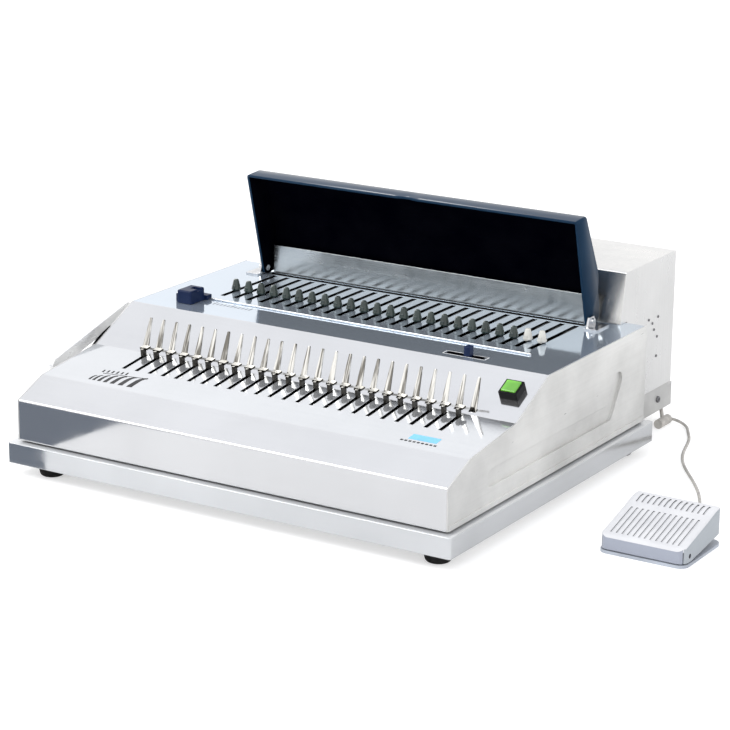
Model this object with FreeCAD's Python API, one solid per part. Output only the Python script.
"""Electric comb binding machine with a foot pedal: one STEP file per separate piece.

Units are millimetres. +Z is up and z = 0 is the floor, +X is the operator's right and +Y is
towards the back. While a piece is made, x = 0 is the middle of the machine and y = 0 is the
front face of the casing. save() then moves it, so that the finished part's origin is the
centre of the front right foot's sole.
"""
import FreeCAD, Part
import math
import os

V = FreeCAD.Vector

# ---------------------------------------------------------------- driving dimensions

COMB_PITCH = 14.2875          # standard plastic comb: 9/16 inch from ring to ring
PINS = 24                     # punches, selector knobs and comb hooks
FINGERS = PINS + 1            # fixed fingers, one on each side of every hook
PUNCH_MIDDLE = 1.8            # x of the middle of the row of punches
COMB_MIDDLE = 2.8             # x of the middle of the rows of hooks and fingers

CASE_X = (-222.0, 219.0)      # left and right faces of the casing
CASE_DEPTH = 362.0
TRAY_LEDGE = 7.0              # how far the base tray stands out past the casing
TRAY_HEIGHT = 18.5
FOOT_HEIGHT = 11.5
FOOT_X = (-195.5, 203.0)      # middles of the left and right feet
FOOT_Y = 14.0                 # from the front and back faces to the feet
FOOT_RADII = (10.5, 13.6)     # at the floor and under the tray
SHADOW_GAP = 2.0              # dark gap between tray and casing
FRONT_HEIGHT = 37.0           # upright front face of the casing
SHEET = 1.2                   # stainless sheet of the covers

HOUSING_WIDTH = 396.0         # taller drive housing at the back
HOUSING_BACK = 464.0
HOUSING_TOP = 169.5
HOUSING_BOTTOM = 41.0

LID_WIDTH = 354.0
LID_WALL = 2.5
LID_HINGE = (328.0, 128.0)    # (y, z) of the lid's hinge line
HINGE_HOLE = 3.0              # radius of the holes in the lid's cheeks

PUNCH_STROKE = 14.0
GEAR_MODULE = 1.5
PRESSURE_ANGLE = math.radians(20)
COMB_PINION_TEETH = 18
DRIVE_GEAR_TEETH = 44
MOTOR_PINION_TEETH = 16

RUN = 0.1                     # running clearance of sliding and turning pieces

# ---------------------------------------------------------------- places worked out from them

TRAY_BOTTOM = FOOT_HEIGHT
TRAY_TOP = TRAY_BOTTOM + TRAY_HEIGHT
CASE_BOTTOM = TRAY_TOP + SHADOW_GAP
TRAY_X = (CASE_X[0] - TRAY_LEDGE, CASE_X[1] + TRAY_LEDGE)
HALF_HOUSING = HOUSING_WIDTH / 2

# outline of the casing seen from the side, as (y, z), from the bottom of the front face
FRONT_TOP = (0.0, CASE_BOTTOM + FRONT_HEIGHT)
SLOPE_START = (35.0, 84.0)
SLOPE_END = (114.0, 94.0)
PANEL_END = (171.0, 122.0)
DECK = PANEL_END[1]
CASE_OUTLINE = [
    (0.0, CASE_BOTTOM), FRONT_TOP, SLOPE_START, SLOPE_END, PANEL_END,
    (CASE_DEPTH, DECK), (CASE_DEPTH, CASE_BOTTOM),
]
SLOPE_ANGLE = math.degrees(math.atan2(SLOPE_END[1] - SLOPE_START[1], SLOPE_END[0] - SLOPE_START[0]))
PANEL_ANGLE = math.degrees(math.atan2(PANEL_END[1] - SLOPE_END[1], PANEL_END[0] - SLOPE_END[0]))

# punching line
SLOT_FRONT, SLOT_BACK = 234.0, 325.0
SLOT_WIDTH = 5.0
THROAT = (328.2, 334.0)       # y of the paper slot
THROAT_BOTTOM = 103.0
HALF_THROAT = 171.8
PIN_WIDTH, PIN_THICK = 8.0, 3.0      # the rectangular hole of a plastic comb
PIN_Z = 108.0
PIN_FRONT, PIN_TIP = 250.0, 326.5
KNOB_Y = 257.0
KNOB_RADIUS, KNOB_TOP_RADIUS = 4.8, 2.3
KNOB_HEIGHT = 10.6

# drive behind the casing
CAM_SHAFT = (398.0, 118.0)
CAM_SHAFT_RADIUS = 8.0
CAM_BASE_RADIUS = 18.0
ROLLER_RADIUS = 7.0
ROLLER_AXLE = 3.0             # radius of the axles the rollers turn on
CAM_X = (162.0, 170.0)
SIDE_BAR_X = (174.0, 180.0)
GEAR_X = (60.0, 70.0)
CHASSIS_X = (193.6, 196.6)
BULKHEAD_X = (50.0, 53.0)
MOTOR_ANGLE = -60.0           # direction from the cam shaft to the motor, in the side view
MOTOR_RADIUS = 27.0

# comb opener
RACK_PITCH_LINE = -12.0       # depth of the rack's pitch line below the sloping front
PINION_RADIUS = GEAR_MODULE * COMB_PINION_TEETH / 2
PINION_ALONG = -38.0          # along the slope, from its upper end
COMB_SHAFT_RADIUS = 5.0
FINGER_WIDTH = 6.4
RACK_X = (150.0, 160.0)
LEVER_X = (-234.0, -229.0)

# foot pedal on the floor to the right
PEDAL_X = (303.0, 381.0)
PEDAL_Y = (105.0, 178.0)
PEDAL_HINGE = (115.7, 8.6)
PEDAL_PIN_RADIUS = 2.1
PEDAL_MIDDLE = (PEDAL_X[0] + PEDAL_X[1]) / 2
PEDAL_FLOOR = 2.6             # thickness of the pedal's base plate
PEDAL_MARGIN = 0.8            # how far the base plate stands out past the tread
PEDAL_CORNER = 8.0            # radius of the tread's corners, seen from above
SPRING_Y = 160.0

# ---------------------------------------------------------------- small tools


def box(x, y, z):
    """Box from three (low, high) pairs."""
    return Part.makeBox(x[1] - x[0], y[1] - y[0], z[1] - z[0], V(x[0], y[0], z[0]))


def centred(x, half, y, z):
    """Box of half-width half about x."""
    return box((x - half, x + half), y, z)


def rod_x(centre, radius, x):
    """Round bar along X through the (y, z) centre."""
    return Part.makeCylinder(radius, x[1] - x[0], V(x[0], centre[0], centre[1]), V(1, 0, 0))


def rod_y(x, z, radius, y):
    """Round bar along Y."""
    return Part.makeCylinder(radius, y[1] - y[0], V(x, y[0], z), V(0, 1, 0))


def rod_z(x, y, radius, z):
    """Round bar along Z."""
    return Part.makeCylinder(radius, z[1] - z[0], V(x, y, z[0]), V(0, 0, 1))


def prism(outline, x):
    """Side-view outline of (y, z) points, extruded along X."""
    corners = [V(x[0], y, z) for y, z in outline]
    return Part.Face(Part.makePolygon(corners + corners[:1])).extrude(V(x[1] - x[0], 0, 0))


def mirrored(shape):
    """The same piece on the other side of the machine."""
    return shape.mirror(V(0, 0, 0), V(1, 0, 0))


def spread(count, middle):
    """x of count things, one comb pitch apart."""
    return [middle + (n - (count - 1) / 2) * COMB_PITCH for n in range(count)]


def inside(outline, thickness):
    """The open outline moved sideways by a sheet's thickness, with mitred corners."""
    moved = []
    for n, here in enumerate(outline):
        before = outline[max(n - 1, 0)]
        after = outline[min(n + 1, len(outline) - 1)]
        normals = []
        for a, b in ((before, here), (here, after)):
            length = math.dist(a, b)
            if length > 0:
                normals.append(((b[1] - a[1]) / length, -(b[0] - a[0]) / length))
        ny = sum(n[0] for n in normals) / len(normals)
        nz = sum(n[1] for n in normals) / len(normals)
        scale = thickness / (ny * ny + nz * nz)
        moved.append((here[0] + ny * scale, here[1] + nz * scale))
    return moved


def soften(shape, corners, radius):
    """Round the edges that run along X through the given (y, z) corners."""
    edges = []
    for edge in shape.Edges:
        start, end = edge.Vertexes[0].Point, edge.Vertexes[-1].Point
        along_x = math.dist((start.y, start.z), (end.y, end.z)) < 1e-6
        if along_x and any(math.dist((start.y, start.z), corner) < 1e-4 for corner in corners):
            edges.append(edge)
    return shape.makeFillet(radius, edges)


def on_slope(shape):
    """Place a shape made as (x, along, height) on the shallow front slope, from its upper end."""
    shape.rotate(V(0, 0, 0), V(1, 0, 0), SLOPE_ANGLE)
    shape.translate(V(0, SLOPE_END[0], SLOPE_END[1]))
    return shape


def on_panel(shape):
    """Place a shape made as (x, along, height) on the steep panel, from its lower end."""
    shape.rotate(V(0, 0, 0), V(1, 0, 0), PANEL_ANGLE)
    shape.translate(V(0, SLOPE_END[0], SLOPE_END[1]))
    return shape


def gear(centre, teeth, x, tooth_at, backlash=0.3):
    """Spur gear about X with involute flanks; tooth_at is the angle of one tooth, in degrees."""
    pitch_radius = GEAR_MODULE * teeth / 2
    base_radius = pitch_radius * math.cos(PRESSURE_ANGLE)
    radii = [pitch_radius - 1.2 * GEAR_MODULE, pitch_radius - 0.4 * GEAR_MODULE,
             pitch_radius + 0.2 * GEAR_MODULE, pitch_radius + 0.85 * GEAR_MODULE]

    def involute(radius):
        pressure = math.acos(min(1.0, base_radius / radius))
        return math.tan(pressure) - pressure

    half_at_pitch = (math.pi * GEAR_MODULE / 2 - backlash) / 2 / pitch_radius
    halves = [half_at_pitch + involute(pitch_radius) - involute(radius) for radius in radii]
    outline = []
    for tooth in range(teeth):
        middle = math.radians(tooth_at) + 2 * math.pi * tooth / teeth
        flank = list(zip(radii, halves))
        steps = [(r, -h) for r, h in flank] + [(r, h) for r, h in reversed(flank)]
        for radius, turn in steps:
            outline.append((centre[0] + radius * math.cos(middle + turn),
                            centre[1] + radius * math.sin(middle + turn)))
    return prism(outline, x)


def save(name, *solids):
    """Write one node; several solids are separate pieces of the same kind."""
    whole = solids[0] if len(solids) == 1 else Part.makeCompound(list(solids))
    whole.translate(V(-FOOT_X[1], -FOOT_Y, 0))
    whole.exportStep(f"parts/{name}.step")


# ---------------------------------------------------------------- base and feet


def base_tray():
    """Shallow folded tray, open below, with a return lip for the feet."""
    x = TRAY_X
    y = (-TRAY_LEDGE, CASE_DEPTH + TRAY_LEDGE)
    sheet = 1.5
    lip = 30.0
    tray = box(x, y, (TRAY_BOTTOM, TRAY_TOP))
    upright = [e for e in tray.Edges if abs(e.tangentAt(e.FirstParameter).z) > 0.9]
    tray = tray.makeFillet(2.0, upright)
    inner_x = (x[0] + sheet, x[1] - sheet)
    inner_y = (y[0] + sheet, y[1] - sheet)
    tray = tray.cut(box(inner_x, inner_y, (TRAY_BOTTOM + sheet, TRAY_TOP - sheet)))
    lip_x = (x[0] + lip, x[1] - lip)
    lip_y = (y[0] + lip, y[1] - lip)
    return tray.cut(box(lip_x, lip_y, (TRAY_BOTTOM - 1, TRAY_BOTTOM + sheet + 1)))


def rubber_feet():
    """Four rubber feet, a little narrower at the floor."""
    feet = []
    for x in FOOT_X:
        for y in (FOOT_Y, CASE_DEPTH - FOOT_Y):
            foot = Part.makeCone(*FOOT_RADII, FOOT_HEIGHT, V(x, y, 0), V(0, 0, 1))
            feet.append(foot.makeFillet(3.5, [e for e in foot.Edges if e.BoundBox.ZMax < 0.01]))
    return feet


# ---------------------------------------------------------------- casing


def comb_slots():
    """Slots of the sloping front that the comb hooks travel in, and the slits at the fingers."""
    slots = [on_slope(centred(x, 1.9, (-38.5, -3.3), (-4, 2))) for x in spread(PINS, COMB_MIDDLE)]
    half = FINGER_WIDTH / 2 + 0.4
    slits = [on_panel(centred(x, half, (3.3, 7.7), (-4, 4))) for x in spread(FINGERS, COMB_MIDDLE)]
    return slots + slits


def deck_slots():
    """Openings of the flat deck: knob slots, paper throat and margin slot."""
    through = (DECK - 5, DECK + 5)
    slots = [centred(x, SLOT_WIDTH / 2, (SLOT_FRONT, SLOT_BACK), through)
             for x in spread(PINS, PUNCH_MIDDLE)]
    throat = box((-HALF_THROAT, HALF_THROAT), THROAT, through)
    return slots + [throat, box(MARGIN_SLOT_X, MARGIN_SLOT_Y, through)]


MARGIN_SLOT_X = (111.0, 148.0)
MARGIN_SLOT_Y = (182.6, 187.0)
BUTTON_X = 198.0
BUTTON_ALONG = 34.5
BUTTON_HALF = 8.75
BUTTON_PROUD = 7.5            # how far the switch body stands out of the panel
ROD_RADIUS = 0.85
ROD_Y = 216.5
ROD_LINE = (ROD_Y, DECK + ROD_RADIUS + 0.05)
ROD_X = (-202.0, 176.0)


def rod_holes():
    """Holes in the deck for the turned-down ends of the guide rod."""
    return [rod_z(x, ROD_LINE[0], ROD_RADIUS + RUN / 2, (DECK - 5, DECK + 1)) for x in ROD_X]


def top_cover():
    """One folded sheet: front face, two slopes, steep panel, deck and back."""
    outer = CASE_OUTLINE
    inner = inside(outer, SHEET)
    x = (CASE_X[0] + SHEET, CASE_X[1] - SHEET)
    cover = prism(outer + inner[::-1], x)
    cover = soften(cover, outer[1:-1], 2.2)
    cover = soften(cover, inner[1:-1], 1.0)
    half_button = BUTTON_HALF - 1.2
    button = on_panel(centred(BUTTON_X, half_button,
                              (BUTTON_ALONG - half_button, BUTTON_ALONG + half_button), (-4, 4)))
    window = box((-HALF_HOUSING - 0.5, HALF_HOUSING + 0.5), (CASE_DEPTH - 3, CASE_DEPTH + 3),
                 (CASE_BOTTOM - 1, DECK - 8))
    return cover.cut(comb_slots() + deck_slots() + rod_holes() + [button, window])


def swage(x, grow):
    """The pressed hockey-stick shape of a side panel, grown by grow all round."""
    radius = 7.8 + grow
    low, high = (72.5, 58.0), (290.0, 57.5)
    tip = (306.0, 84.0)
    limbs = []
    for a, b in ((low, high), (high, tip)):
        length = math.dist(a, b)
        side = ((b[1] - a[1]) / length * radius, -(b[0] - a[0]) / length * radius)
        limbs.append(prism([(a[0] + side[0], a[1] + side[1]), (b[0] + side[0], b[1] + side[1]),
                            (b[0] - side[0], b[1] - side[1]), (a[0] - side[0], a[1] - side[1])], x))
    ends = [rod_x(p, radius, x) for p in (low, high, tip)]
    return limbs[0].multiFuse(limbs[1:] + ends).removeSplitter()


def side_panel():
    """Right side panel: a sheet in the casing's outline, swaged inwards and hemmed at the bottom."""
    x = (CASE_X[1] - SHEET, CASE_X[1])
    depth = 2.4
    panel = prism(CASE_OUTLINE, x)
    panel = panel.fuse(swage((x[0] - depth, x[0] + SHEET / 2), SHEET))
    panel = panel.cut(swage((x[1] - depth, x[1] + 1), 0.0))
    hem = box((x[1] - 0.01, x[1] + 1.0), (1.0, CASE_DEPTH - 1.0), (CASE_BOTTOM, CASE_BOTTOM + 4.5))
    return panel.fuse(hem).removeSplitter()


def right_side_panel():
    """The plain panel, without any opening."""
    return side_panel()


def left_side_panel():
    """Mirror of the right panel, with the lever shaft's hole and the chip drawer's opening."""
    across = (CASE_X[0] - 5, CASE_X[0] + 5)
    panel = mirrored(side_panel())
    panel.translate(V(CASE_X[0] + CASE_X[1], 0, 0))
    return panel.cut([rod_x(comb_shaft_place(), COMB_SHAFT_RADIUS + 0.5, across), drawer_opening(across)])


DRAWER_Y = (317.0, 357.0)
DRAWER_Z = (34.0, 76.0)
DRAWER_WALL = 1.5


def drawer_opening(across):
    """Opening that the chip drawer slides through with clearance."""
    gap = 0.6
    return box(across, (DRAWER_Y[0] - gap, DRAWER_Y[1] + gap), (DRAWER_Z[0] - gap, DRAWER_Z[1] + gap))


def chip_drawer():
    """Drawer for the punched chips, pulled out to the left."""
    wall = DRAWER_WALL
    x = (CASE_X[0] - wall, 176.0)
    drawer = box(x, DRAWER_Y, DRAWER_Z)
    hollow = box((CASE_X[0] + wall, x[1] - wall), (DRAWER_Y[0] + wall, DRAWER_Y[1] - wall),
                 (DRAWER_Z[0] + wall, DRAWER_Z[1] + 1))
    middle = (DRAWER_Y[0] + DRAWER_Y[1]) / 2
    pull = Part.makeCylinder(9.0, 6, V(x[0] - 1, middle, DRAWER_Z[1] - 2), V(1, 0, 0))
    return drawer.cut([hollow, pull.common(box((x[0] - 1, x[0] + 3.5), DRAWER_Y, DRAWER_Z))])


# ---------------------------------------------------------------- chassis and housing

CHASSIS_OUTLINE = [
    (20.0, TRAY_TOP), (20.0, 58.0), (56.0, 76.0), (200.0, 76.0), (244.0, DECK - SHEET),
    (356.0, DECK - SHEET), (356.0, 112.0), (364.0, 112.0),
    (378.0, 134.0), (455.0, 134.0), (462.0, 126.0), (462.0, 38.5), (470.0, 38.5),
    (470.0, 16.0), (392.0, 16.0), (372.0, 24.0), (369.2, TRAY_TOP),
]
HOUSING_SCREWS = [(410.0, 113.0), (430.0, 112.0), (418.0, 108.0), (422.0, 101.0), (429.0, 93.0), (429.0, 74.0)]
TAIL_SCREW = (440.0, 28.0)
SMALL_SCREW, TAIL_SHANK = 0.7, 1.7    # radii of the screws' shanks
FLOOR_X = CASE_X[1] - 5.0


def comb_shaft_place():
    """(y, z) of the comb opener's shaft, below the slope by the rack's depth and its radius."""
    along = PINION_ALONG
    height = RACK_PITCH_LINE - PINION_RADIUS
    angle = math.radians(SLOPE_ANGLE)
    return (SLOPE_END[0] + along * math.cos(angle) - height * math.sin(angle),
            SLOPE_END[1] + along * math.sin(angle) + height * math.cos(angle))


def motor_place():
    """(y, z) of the motor's shaft, one centre distance from the cam shaft."""
    distance = GEAR_MODULE * (DRIVE_GEAR_TEETH + MOTOR_PINION_TEETH) / 2
    angle = math.radians(MOTOR_ANGLE)
    return (CAM_SHAFT[0] + distance * math.cos(angle), CAM_SHAFT[1] + distance * math.sin(angle))


def chassis():
    """Welded steel frame: floor, two side plates, cross rail, bulkhead and tail."""
    inner = CHASSIS_X[0]
    side = prism(CHASSIS_OUTLINE, CHASSIS_X)
    floor = box((-FLOOR_X, FLOOR_X), (6.0, CASE_DEPTH - 5.0), (TRAY_TOP, TRAY_TOP + 2.5))
    tail = box((-inner, inner), (392.0, 470.0), (16.0, 18.5))
    bulkhead = prism([(378.0, 17.0), (460.0, 17.0), (460.0, 138.0), (378.0, 138.0)], BULKHEAD_X)
    rail = box((-inner, inner), (196.0, 206.0), (60.0, 72.0))
    frame = side.multiFuse([mirrored(side), floor, tail, bulkhead, rail])
    across = (-CHASSIS_X[1] - 5, CHASSIS_X[1] + 5)
    holes = [drawer_opening((across[0], -180.0)),
             rod_x(CAM_SHAFT, CAM_SHAFT_RADIUS + RUN / 2, across),
             rod_x(comb_shaft_place(), COMB_SHAFT_RADIUS + RUN / 2, across),
             rod_x(motor_place(), 12.0, (BULKHEAD_X[0] - 5, BULKHEAD_X[1] + 5))]
    holes += [rod_x(place, SMALL_SCREW + RUN / 2, across) for place in HOUSING_SCREWS]
    holes.append(rod_x(TAIL_SCREW, TAIL_SHANK + RUN / 2, across))
    return frame.cut(holes).removeSplitter()


def rear_housing():
    """Sheet housing of the drive: leaning front, top, back and sides, standing on the deck."""
    front_foot, front_top = 349.5, 358.0
    behind = CASE_DEPTH + 1.2
    outer = [(front_foot, DECK + 0.1), (front_top, HOUSING_TOP), (HOUSING_BACK, HOUSING_TOP),
             (HOUSING_BACK, HOUSING_BOTTOM), (behind, HOUSING_BOTTOM), (behind, DECK + 0.1)]
    x = (-HALF_HOUSING, HALF_HOUSING)
    shell = soften(prism(outer, x), outer[1:3], 2.0)
    hollow = [(front_foot + 1.1, DECK - 2), (front_top + SHEET, HOUSING_TOP - SHEET),
              (HOUSING_BACK - SHEET, HOUSING_TOP - SHEET), (HOUSING_BACK - SHEET, HOUSING_BOTTOM - 1),
              (behind - 3, HOUSING_BOTTOM - 1), (behind - 3, DECK - 2)]
    shell = shell.cut(prism(hollow, (x[0] + SHEET, x[1] - SHEET)))
    through_back = (HOUSING_BACK - 4, HOUSING_BACK + 2)
    vents = [centred(vx, 1.5, through_back, (92.0, 132.0)) for vx in [70.0 + 8.0 * n for n in range(12)]]
    vents.append(box(INLET_X, through_back, INLET_Z))
    across = (-HALF_HOUSING - 5, HALF_HOUSING + 5)
    vents += [rod_x(place, SMALL_SCREW + RUN / 2, across) for place in HOUSING_SCREWS]
    return shell.cut(vents)


INLET_X = (-166.0, -110.0)
INLET_Z = (62.0, 90.0)
ROCKER = (-124.0, HOUSING_BACK + 0.5, 76.0)
ROCKER_TIP = 8.0


def power_inlet():
    """Mains inlet module with the rocker switch's frame, in the back of the housing."""
    flange = box((INLET_X[0] - 3, INLET_X[1] + 3), (HOUSING_BACK, HOUSING_BACK + 2.5),
                 (INLET_Z[0] - 3, INLET_Z[1] + 3))
    body = box((INLET_X[0] + RUN, INLET_X[1] - RUN), (HOUSING_BACK - 24, HOUSING_BACK + 1),
               (INLET_Z[0] + RUN, INLET_Z[1] - RUN))
    module = flange.fuse(body)
    socket = box((-162.0, -138.0), (HOUSING_BACK - 16, HOUSING_BACK + 5), (68.0, 84.0))
    blades = [centred(x, 1.0, (HOUSING_BACK - 17, HOUSING_BACK - 2), (z - 2.0, z + 2.0))
              for x, z in ((-157.0, 74.0), (-150.0, 78.0), (-143.0, 74.0))]
    well = centred(ROCKER[0], 8.0, (HOUSING_BACK - 14, HOUSING_BACK + 5), (ROCKER[2] - 11, ROCKER[2] + 11))
    return module.cut([socket, well]).multiFuse(blades)


def power_rocker():
    """Rocker of the mains switch on its pivot, tipped to its off side."""
    face, ends = 4.2, 9.5
    outline = [(face, ends), (1.6, 0.0), (face, -ends), (-2.0, -8.0), (-2.0, 8.0)]
    half = 7.6
    body = prism([(ROCKER[1] + y, ROCKER[2] + z) for y, z in outline], (ROCKER[0] - half, ROCKER[0] + half))
    pivot = rod_x(ROCKER[1:], 3.0, (ROCKER[0] - half - 0.3, ROCKER[0] + half + 0.3))
    rocker = body.fuse(pivot)
    rocker.rotate(V(*ROCKER), V(1, 0, 0), ROCKER_TIP)
    return rocker


def cover_screws():
    """Pan-head screws of the housing and of the chassis tail."""
    screws = []
    small = [(place, HALF_HOUSING, SMALL_SCREW) for place in HOUSING_SCREWS]
    for place, face, shank in small + [(TAIL_SCREW, CHASSIS_X[1], TAIL_SHANK)]:
        proud = 0.9 * shank
        head = rod_x(place, 1.9 * shank, (face, face + proud))
        head = head.makeFillet(0.4 * shank, [e for e in head.Edges if e.BoundBox.XMin > face + 0.9 * proud])
        recess = rod_x(place, 0.7 * shank, (face + 0.4 * proud, face + 2 * proud))
        screw = head.cut(recess).fuse(rod_x(place, shank, (face - 6.0, face + 0.3 * proud)))
        screws += [screw, mirrored(screw)]
    return screws


# ---------------------------------------------------------------- punch


def die_block():
    """Pin guide and die in one steel block, parted by the paper throat."""
    half_block = HALF_THROAT + 1.4
    block = box((-half_block, half_block), (300.0, 345.0), (96.0, DECK - SHEET - 0.05))
    throat = box((-HALF_THROAT, HALF_THROAT), THROAT, (THROAT_BOTTOM, DECK + 5))
    half = PIN_WIDTH / 2 + RUN
    holes = [centred(x, half, (290.0, 350.0), (PIN_Z - PIN_THICK / 2 - RUN, PIN_Z + PIN_THICK / 2 + RUN))
             for x in spread(PINS, PUNCH_MIDDLE)]
    ears = [box((half_block - 1.0, CHASSIS_X[0]), (308.0, 337.0), (108.0, 112.0))]
    block = block.multiFuse(ears + [mirrored(ears[0])])
    return block.cut([throat] + holes)


def selector_pin(x):
    """Punch with its upright stem, and the knob on top that disengages it."""
    bar = centred(x, PIN_WIDTH / 2, (PIN_FRONT, PIN_TIP), (PIN_Z - PIN_THICK / 2, PIN_Z + PIN_THICK / 2))
    stem = centred(x, 1.6, (KNOB_Y - 4, KNOB_Y + 4), (PIN_Z, DECK + 5.5))
    pin = bar.fuse(stem)
    knob = Part.makeCone(KNOB_RADIUS, KNOB_TOP_RADIUS, KNOB_HEIGHT, V(x, KNOB_Y, DECK + 0.8), V(0, 0, 1))
    rims = [e for e in knob.Edges if e.BoundBox.ZLength < 0.01]
    knob = knob.makeFillet(1.4, rims)
    return [pin, knob.cut(stem)]


def punch_carriage():
    """Frame that carries the pins: front beam, two side bars and the uprights of the rollers."""
    beam = box((-SIDE_BAR_X[1], SIDE_BAR_X[1]), (240.0, 276.0), (94.0, PIN_Z - PIN_THICK / 2 - 0.2))
    bar = box(SIDE_BAR_X, (240.0, 434.0), (94.0, 105.0))
    upright = box(SIDE_BAR_X, (roller_y() - 8.0, 434.0), (94.0, CAM_SHAFT[1] + 8.0))
    axle = rod_x((roller_y(), CAM_SHAFT[1]), ROLLER_AXLE, (CAM_X[0] - 1.5, SIDE_BAR_X[0] + 1))
    right = bar.multiFuse([upright, axle])
    return beam.multiFuse([right, mirrored(right)]).removeSplitter()


def roller_y():
    """Rest place of the cam rollers, just clear of the cams."""
    return CAM_SHAFT[0] + CAM_BASE_RADIUS + ROLLER_RADIUS + 0.5


def cam_rollers():
    """Rollers that follow the cams."""
    centre = (roller_y(), CAM_SHAFT[1])
    x = (CAM_X[0] - 1.0, SIDE_BAR_X[0] - 0.5)
    roller = rod_x(centre, ROLLER_RADIUS, x).cut(rod_x(centre, ROLLER_AXLE + RUN / 2, x))
    return [roller, mirrored(roller)]


def heart_cam(x):
    """Constant-rise cam: its radius grows evenly over half a turn and shrinks over the other."""
    steps = 12
    halves = []
    for side in (1, -1):
        points = []
        for n in range(steps + 1):
            turn = math.pi * n / steps
            radius = CAM_BASE_RADIUS + PUNCH_STROKE * n / steps
            points.append(V(x[0], CAM_SHAFT[0] + radius * math.cos(turn),
                            CAM_SHAFT[1] + side * radius * math.sin(turn)))
        curve = Part.BSplineCurve()
        curve.interpolate(points)
        halves.append(curve.toShape())
    return Part.Face(Part.Wire(halves)).extrude(V(x[1] - x[0], 0, 0))


def cam_shaft():
    """Shaft across the drive with its two cams, the cam lobes away from the rollers at rest."""
    shaft = rod_x(CAM_SHAFT, CAM_SHAFT_RADIUS, (-CHASSIS_X[1], CHASSIS_X[1]))
    cam = heart_cam(CAM_X)
    return shaft.multiFuse([cam, mirrored(cam)])


def drive_gear():
    """Large gear on the cam shaft."""
    wheel = gear(CAM_SHAFT, DRIVE_GEAR_TEETH, GEAR_X, MOTOR_ANGLE)
    bore = rod_x(CAM_SHAFT, CAM_SHAFT_RADIUS, GEAR_X)
    ring = [rod_x((CAM_SHAFT[0] + 21 * math.cos(a), CAM_SHAFT[1] + 21 * math.sin(a)), 6.5, GEAR_X)
            for a in [math.radians(60 * n) for n in range(6)]]
    return wheel.cut([bore] + ring)


def motor_pinion():
    """Motor shaft with its pinion."""
    place = motor_place()
    half_tooth = 180.0 / MOTOR_PINION_TEETH
    teeth = gear(place, MOTOR_PINION_TEETH, GEAR_X, MOTOR_ANGLE + 180 + half_tooth)
    return teeth.fuse(rod_x(place, 5.0, (BULKHEAD_X[0] + 1, GEAR_X[1])))


def drive_motor():
    """Motor can with its end bells, bolted to the bulkhead."""
    place = motor_place()
    end = BULKHEAD_X[0]
    can = rod_x(place, MOTOR_RADIUS, (end - 112.0, end))
    bells = [rod_x(place, MOTOR_RADIUS - 2.0, (end - 118.0, end - 111.0))]
    boss = rod_x(place, 11.5, (end - 1.0, BULKHEAD_X[1]))
    motor = can.multiFuse(bells + [boss])
    return motor.cut(rod_x(place, 5.2, (end - 4.0, BULKHEAD_X[1] + 1)))


def paper_rest():
    """Polished plate that stands behind the paper throat, on a folded foot."""
    x = (-171.0, 171.0)
    front = THROAT[1] + 0.6
    upright = box(x, (front, front + 1.0), (DECK, DECK + 28.0))
    foot = box(x, (front, front + 7.4), (DECK, DECK + 1.0))
    return upright.fuse(foot)


# ---------------------------------------------------------------- comb opener


def finger_comb():
    """Comb of fixed steel fingers rising through the front, on one bar below the sheet."""
    lean = math.radians(20.0)
    root = on_panel(Part.Vertex(V(0, 4.7, -SHEET - 0.2))).Point
    length = 30.5
    tall = (math.sin(lean), math.cos(lean))
    thick = 1.8
    half = FINGER_WIDTH / 2
    fingers = []
    for x in spread(FINGERS, COMB_MIDDLE):
        corners = [(-half, -6.0), (half, -6.0), (half - 0.2, 3.0), (1.1, length - 0.8), (0.5, length),
                   (-0.5, length), (-1.1, length - 0.8), (0.2 - half, 3.0)]
        front = [V(x + across, root.y + up * tall[0], root.z + up * tall[1]) for across, up in corners]
        face = Part.Face(Part.makePolygon(front + front[:1]))
        face.translate(V(0, -thick / 2 * tall[1], thick / 2 * tall[0]))
        fingers.append(face.extrude(V(0, thick * tall[1], -thick * tall[0])))
    bar = on_panel(box((-180.0, 180.0), (-2.0, 10.0), (-8.4, -5.0)))
    legs = [box((180.0 - 6.0, CHASSIS_X[0]), (112.0, 122.0), (66.0, 69.0)),
            box((174.0, 180.0), (112.0, 122.0), (66.0, 90.0))]
    legs += [mirrored(leg) for leg in legs]
    return bar.multiFuse(fingers + legs).removeSplitter()


def rack(x):
    """Toothed rack below the hook carriage, with a tooth over the shaft."""
    pitch = math.pi * GEAR_MODULE
    half = (pitch / 2 - 0.3) / 2
    slope = math.tan(PRESSURE_ANGLE)
    tip, root = RACK_PITCH_LINE - 0.85 * GEAR_MODULE, RACK_PITCH_LINE + 1.2 * GEAR_MODULE
    first, last = PINION_ALONG - pitch, PINION_ALONG + 7 * pitch
    outline = [(first - pitch / 2, -7.0), (first - pitch / 2, root)]
    for n in range(9):
        middle = first + n * pitch
        wide = half + (root - RACK_PITCH_LINE) * slope
        narrow = half - (RACK_PITCH_LINE - tip) * slope
        outline += [(middle - wide, root), (middle - narrow, tip), (middle + narrow, tip), (middle + wide, root)]
    outline += [(last + pitch / 2, root), (last + pitch / 2, -7.0)]
    return prism(outline, x)


def hook_carriage():
    """Plate that carries the hooks under the slope, with a rack at each end."""
    plate = box((-172.0, 172.0), (-42.0, -1.5), (-7.0, -4.2))
    racks = [rack(RACK_X), rack((-RACK_X[1], -RACK_X[0]))]
    return on_slope(plate.multiFuse(racks).removeSplitter())


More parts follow.
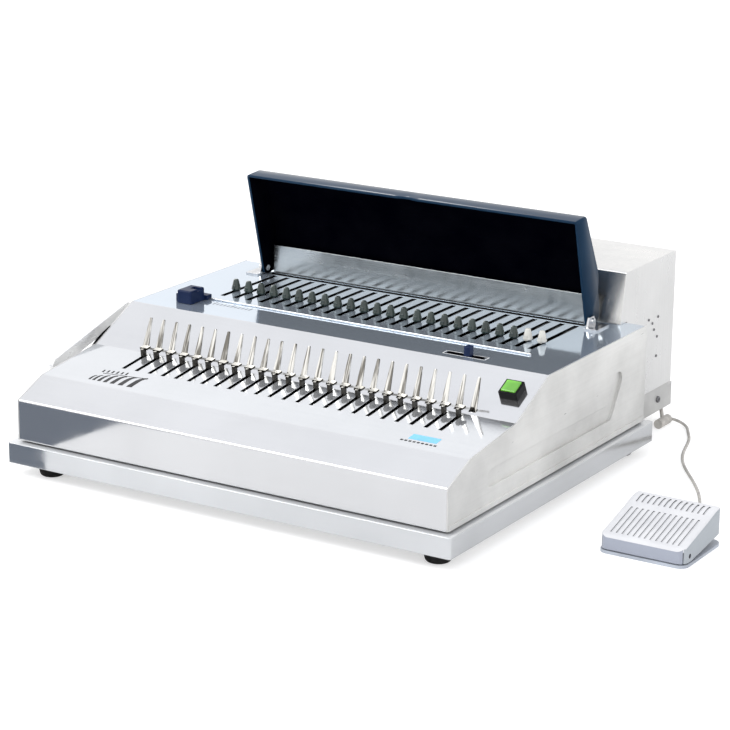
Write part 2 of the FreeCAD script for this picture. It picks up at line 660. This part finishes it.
def comb_hooks():
    """Hooks that pull the comb's rings open, standing on the carriage."""
    hooks = []
    for x in spread(PINS, COMB_MIDDLE):
        stem = centred(x, 1.3, (-9.6, -4.4), (-4.2, 7.6))
        head = centred(x, 4.0, (-6.6, -0.9), (6.2, 8.2))
        head = head.makeFillet(0.7, [e for e in head.Edges if abs(e.tangentAt(e.FirstParameter).y) > 0.9])
        hooks.append(on_slope(stem.fuse(head)))
    return hooks


def comb_shaft():
    """Shaft across the machine with the two pinions of the comb opener."""
    place = comb_shaft_place()
    shaft = rod_x(place, COMB_SHAFT_RADIUS, (LEVER_X[0], CHASSIS_X[1]))
    half_tooth = 180.0 / COMB_PINION_TEETH
    upright = 90.0 + SLOPE_ANGLE + half_tooth
    pinions = [gear(place, COMB_PINION_TEETH, x, upright)
               for x in (RACK_X, (-RACK_X[1], -RACK_X[0]))]
    return shaft.multiFuse(pinions)


def comb_lever():
    """Cranked flat lever on the left side that opens the comb."""
    hub = comb_shaft_place()
    bar_width = 11.0
    front, back = (66.0, 84.5), (174.0, 113.3)
    web = []
    for a, b in ((hub, front), (front, back)):
        length = math.dist(a, b)
        side = ((b[1] - a[1]) / length * bar_width / 2, -(b[0] - a[0]) / length * bar_width / 2)
        web.append(prism([(a[0] + side[0], a[1] + side[1]), (b[0] + side[0], b[1] + side[1]),
                          (b[0] - side[0], b[1] - side[1]), (a[0] - side[0], a[1] - side[1])], LEVER_X))
    rounds = [rod_x(place, bar_width / 2, LEVER_X) for place in (front, back)]
    boss = rod_x(hub, 12.0, LEVER_X)
    arm = boss.multiFuse(web + rounds).removeSplitter()
    return arm.cut(rod_x(hub, COMB_SHAFT_RADIUS, LEVER_X))


# ---------------------------------------------------------------- lid


def lid_cover():
    """Hood over the selector knobs, standing open: a curved skin between two cheeks."""
    hinge_y, hinge_z = LID_HINGE
    rim_top, crown = V(0, 296.5, 226.0), V(0, 317.0, 227.6)
    shoulder, belly, heel = V(0, 343.0, 175.0), V(0, 347.4, 161.0), V(0, 345.4, 147.0)
    half = LID_WIDTH / 2

    def skin_edges():
        bulge = Part.Arc(shoulder, belly, heel).toShape()
        return [Part.makeLine(rim_top, crown), Part.makeLine(crown, shoulder), bulge]

    ankle, toe = V(0, hinge_y + 16.0, hinge_z + 2.0), V(0, hinge_y + 12.0, hinge_z - 4.2)
    under, front = V(0, hinge_y, hinge_z - 5.4), V(0, hinge_y - 5.4, hinge_z + 0.5)
    close = [Part.makeLine(heel, ankle), Part.makeLine(ankle, toe), Part.makeLine(toe, under),
             Part.Arc(under, V(0, hinge_y - 3.9, hinge_z - 3.74), front).toShape(),
             Part.makeLine(front, rim_top)]
    solid = Part.Face(Part.Wire(skin_edges() + close)).extrude(V(LID_WIDTH, 0, 0))
    solid.translate(V(-half, 0, 0))
    solid = soften(solid, [(crown.y, crown.z)], 4.0)
    hollow = [(rim_top.y - 30, rim_top.z - 2.6), (crown.y - 1.5, crown.z - 2.6),
              (shoulder.y - 2.9, shoulder.z), (belly.y - LID_WALL, belly.z), (heel.y - LID_WALL, heel.z),
              (heel.y + 20, heel.z - 0.3), (heel.y + 20, 100.0), (rim_top.y - 30, 100.0)]
    opening = prism(hollow, (-half + LID_WALL, half - LID_WALL))
    holes = rod_x(LID_HINGE, HINGE_HOLE, (-half - 5, half + 5))
    return solid.cut([opening, holes])


def hinge_brackets():
    """Steel brackets with studs that the lid turns on."""
    half = LID_WIDTH / 2
    ear = prism([(320.0, DECK), (337.0, DECK), (332.5, DECK + 10.0), (323.5, DECK + 10.0)],
                (half + 0.5, half + 2.5))
    foot = box((half + 0.5, half + 14.0), (316.0, 340.0), (DECK, DECK + 1.6))
    stud = rod_x(LID_HINGE, HINGE_HOLE - RUN / 2, (half - LID_WALL - 1.5, half + 5.0))
    bracket = ear.multiFuse([foot, stud])
    return [bracket, mirrored(bracket)]


# ---------------------------------------------------------------- controls on the deck and panel


def guide_rod():
    """Thin rod lying along the deck in front of the knobs, its ends turned down into the deck."""
    straight = rod_x(ROD_LINE, ROD_RADIUS, ROD_X)
    ends = [rod_z(x, ROD_LINE[0], ROD_RADIUS, (DECK - 4.0, ROD_LINE[1])) for x in ROD_X]
    elbows = [Part.makeSphere(ROD_RADIUS, V(x, ROD_LINE[0], ROD_LINE[1])) for x in ROD_X]
    return straight.multiFuse(ends + elbows)


def side_guide():
    """Sliding block of the side guide, notched on top, its heel wrapping over the rod."""
    top = DECK + 12.6
    body = box((-183.2, -167.4), (189.4, 212.0), (DECK + 0.2, top))
    body = body.makeFillet(1.6, [e for e in body.Edges if e.BoundBox.ZMax > top - 0.1])
    notch = box((-176.0, -160.0), (200.0, 207.0), (top - 2.2, top + 1))
    tab = box((-186.6, -183.0), (193.0, 206.0), (DECK + 0.2, DECK + 7.6))
    heel = box((-183.2, -164.5), (ROD_Y - 5.0, ROD_Y + 2.6), (DECK + 0.2, DECK + 4.6))
    block = body.cut(notch).multiFuse([tab, heel])
    return block.cut(rod_x(ROD_LINE, ROD_RADIUS + RUN, (-190.0, -150.0)))


def margin_knob():
    """Small knob of the margin slide, with its foot below the deck."""
    x, y = 132.0, (MARGIN_SLOT_Y[0] + MARGIN_SLOT_Y[1]) / 2
    stem = centred(x, 2.6, (y - 1.7, y + 1.7), (DECK - 4.0, DECK + 3.0))
    top = DECK + 9.0
    grip = rod_z(x, y, 4.4, (DECK + 0.4, top)).common(centred(x, 3.0, (y - 6, y + 6), (DECK, top + 1)))
    grip = grip.makeFillet(0.8, [e for e in grip.Edges if e.BoundBox.ZMin > top - 0.1])
    foot = centred(x, 8.0, (y - 6.0, y + 6.0), (DECK - 5.4, DECK - 2.6))
    return stem.multiFuse([grip, foot])


def button_bezel():
    """Square body of the push-button switch, standing proud of the steep panel."""
    middle = BUTTON_ALONG
    proud = BUTTON_PROUD
    outer = centred(BUTTON_X, BUTTON_HALF, (middle - BUTTON_HALF, middle + BUTTON_HALF), (0.0, proud))
    outer = outer.makeFillet(0.8, [e for e in outer.Edges if e.BoundBox.ZMax > proud - 0.1
                                   or e.BoundBox.ZLength > 5])
    half = BUTTON_HALF - 1.3
    body = centred(BUTTON_X, half, (middle - half, middle + half), (-20.0, 1.0))
    well_half = BUTTON_HALF - 1.6
    well = centred(BUTTON_X, well_half, (middle - well_half, middle + well_half), (-6.0, proud + 1))
    return on_panel(outer.fuse(body).cut(well))


def button_cap():
    """Green cap of the push button."""
    half = BUTTON_HALF - 1.75
    top = BUTTON_PROUD + 1.1
    cap = centred(BUTTON_X, half, (BUTTON_ALONG - half, BUTTON_ALONG + half), (-1.5, top))
    cap = cap.makeFillet(1.0, [e for e in cap.Edges if e.BoundBox.ZMax > top - 0.1])
    return on_panel(cap)


# ---------------------------------------------------------------- foot pedal


def rounded_slab(x, y, z, radius):
    """Flat slab with round upright corners."""
    slab = box(x, y, z)
    return slab.makeFillet(radius, [e for e in slab.Edges if e.BoundBox.ZLength > (z[1] - z[0]) * 0.9])


def pedal_base():
    """Base plate of the foot pedal, with the hinge lugs, the spring post and the switch box."""
    base = rounded_slab((PEDAL_X[0] - PEDAL_MARGIN, PEDAL_X[1] + PEDAL_MARGIN),
                        (PEDAL_Y[0] - PEDAL_MARGIN, PEDAL_Y[1] + PEDAL_MARGIN), (0.0, PEDAL_FLOOR),
                        PEDAL_CORNER + PEDAL_MARGIN)
    lug_x = (PEDAL_X[0] + 7, PEDAL_X[1] - 7)
    lugs = [centred(x, 2.0, (111.5, 120.0), (PEDAL_FLOOR - 1, 12.2)) for x in lug_x]
    post = rod_z(PEDAL_MIDDLE, SPRING_Y, 4.0, (PEDAL_FLOOR - 1, 13.0))
    switch_x = PEDAL_MIDDLE - 16.0
    switch = centred(switch_x, 8.0, (130.0, 150.0), (PEDAL_FLOOR - 1, 17.0))
    plunger = rod_z(switch_x, 144.0, 2.0, (16.0, 19.2))
    gland = rod_y(CABLE_END[0], CABLE_END[2], CABLE_RADIUS + 1.5, (172.0, CABLE_END[1]))
    saddle = centred(CABLE_END[0], 2.2, (172.0, PEDAL_Y[1]), (PEDAL_FLOOR - 1, CABLE_END[2]))
    base = base.multiFuse(lugs + [post, switch, plunger, gland, saddle])
    pin = rod_x(PEDAL_HINGE, PEDAL_PIN_RADIUS + RUN / 2, PEDAL_X)
    return base.cut([pin, rod_y(CABLE_END[0], CABLE_END[2], CABLE_RADIUS + 0.4, (170.0, 200.0))])


def pedal_pin():
    """Hinge pin of the pedal."""
    return rod_x(PEDAL_HINGE, PEDAL_PIN_RADIUS, (PEDAL_X[0] + 1.0, PEDAL_X[1] - 1.0))


def pedal_spring():
    """Compression spring round the post, between the base and the tread."""
    wire, radius, height, turns = 0.7, 6.0, 21.8, 7
    helix = Part.makeHelix(height / turns, height, radius)
    start = Part.Wire([Part.makeCircle(wire, V(radius, 0, 0), V(0, 1, 0.08))])
    coil = Part.Wire(helix).makePipeShell([start], True, True)
    coil.translate(V(PEDAL_MIDDLE, SPRING_Y, PEDAL_FLOOR + wire + 0.1))
    return coil


def pedal_top():
    """Sloping tread of the pedal: a shell open below, grooved on top."""
    front, back = PEDAL_Y[0] + 0.2, PEDAL_Y[1] + 1.0
    wall = 2.2
    tread = [(front, 3.4), (front, 14.0), (108.0, 16.6), (150.0, 27.8), (166.0, 32.6), (175.0, 33.4),
             (back, 30.0), (back, 11.5), (119.0, 3.4)]
    solid = soften(prism(tread, PEDAL_X), [tread[2], tread[4], tread[6]], 3.0)
    long_sides = [e for e in solid.Edges if e.BoundBox.XLength < 0.01 and e.BoundBox.ZMin > 13.0
                  and e.BoundBox.YLength > 1.0]
    solid = solid.makeFillet(3.0, long_sides)
    solid = solid.common(rounded_slab(PEDAL_X, (front, back), (0.0, 40.0), PEDAL_CORNER))
    inner = [(front + wall, 0.0), (front + wall, 13.2), (109.0, 14.4), (150.6, 25.4), (166.5, 30.2),
             (174.4, 30.9), (back - wall, 28.9), (back - wall, 0.0)]
    hollow = prism(inner, (PEDAL_X[0] + wall, PEDAL_X[1] - wall))
    pitch, half = 5.1, 0.8
    grooves = []
    for n in range(13):
        x = PEDAL_MIDDLE + (n - 6) * pitch
        groove_x = (x - half, x + half)
        grooves.append(prism([(111.0, 20.0), (111.0, 16.9), (150.0, 27.3), (150.0, 32.0)], groove_x))
        grooves.append(prism([(158.0, 36.0), (158.0, 29.6), (166.0, 32.0), (171.0, 32.4), (171.0, 36.0)],
                             groove_x))
    pin = rod_x(PEDAL_HINGE, PEDAL_PIN_RADIUS + RUN / 2, (PEDAL_X[0] - 1, PEDAL_X[1] + 1))
    notch = centred(CABLE_END[0], 5.0, (170.0, back + 1), (0.0, 22.5))
    return solid.cut([hollow, pin, notch] + grooves)


CABLE_END = (343.0, 183.0, 8.6)
CABLE_RADIUS = 1.4
PLUG_X = 200.0


def pedal_cable():
    """Cable from the in-line plug behind the machine, along the floor, to the pedal."""
    low = CABLE_RADIUS + 0.2
    path = [(PLUG_X, 457.0, 4.5), (PLUG_X + 4, 460.0, 4.2), (212.0, 459.0, 3.2), (222.0, 452.0, low + 0.5),
            (230.0, 439.0, low + 0.1), (238.0, 424.0, low), (251.0, 385.0, low), (263.0, 356.0, low),
            (290.0, 316.0, low), (316.0, 276.0, low + 0.1), (333.0, 240.0, low + 0.6), (340.0, 221.0, 4.2),
            (CABLE_END[0], 204.0, 6.9), CABLE_END, (CABLE_END[0], 173.0, CABLE_END[2])]
    curve = Part.BSplineCurve()
    curve.interpolate([V(*p) for p in path])
    spine = Part.Wire([curve.toShape()])
    start = curve.tangent(curve.FirstParameter)[0]
    circle = Part.Wire([Part.makeCircle(CABLE_RADIUS, V(*path[0]), start)])
    cable = spine.makePipeShell([circle], True, True)
    plug = rod_y(PLUG_X, 4.6, 4.5, (436.0, 458.0))
    lead = Part.makeCylinder(1.8, 12.0, V(PLUG_X - 6.0, 454.5, 14.2), V(6.0, -8.0, -9.2))
    return cable.multiFuse([plug, lead])


def write_all():
    os.makedirs("parts", exist_ok=True)
    single = [base_tray, top_cover, right_side_panel, left_side_panel, chip_drawer, chassis, rear_housing,
              power_inlet, power_rocker, die_block, punch_carriage, cam_shaft, drive_gear,
              motor_pinion, drive_motor, paper_rest, finger_comb, hook_carriage, comb_shaft, lid_cover,
              guide_rod, side_guide, margin_knob, button_bezel, button_cap, comb_lever, pedal_base,
              pedal_pin, pedal_spring, pedal_top, pedal_cable]
    groups = [rubber_feet, cover_screws, cam_rollers, comb_hooks, hinge_brackets]
    for make in single:
        save(make.__name__, make())
    for make in groups:
        save(make.__name__, *make())
    for n, x in enumerate(spread(PINS, PUNCH_MIDDLE), start=1):
        save(f"selector_pin_{n:02d}", *selector_pin(x))


write_all()
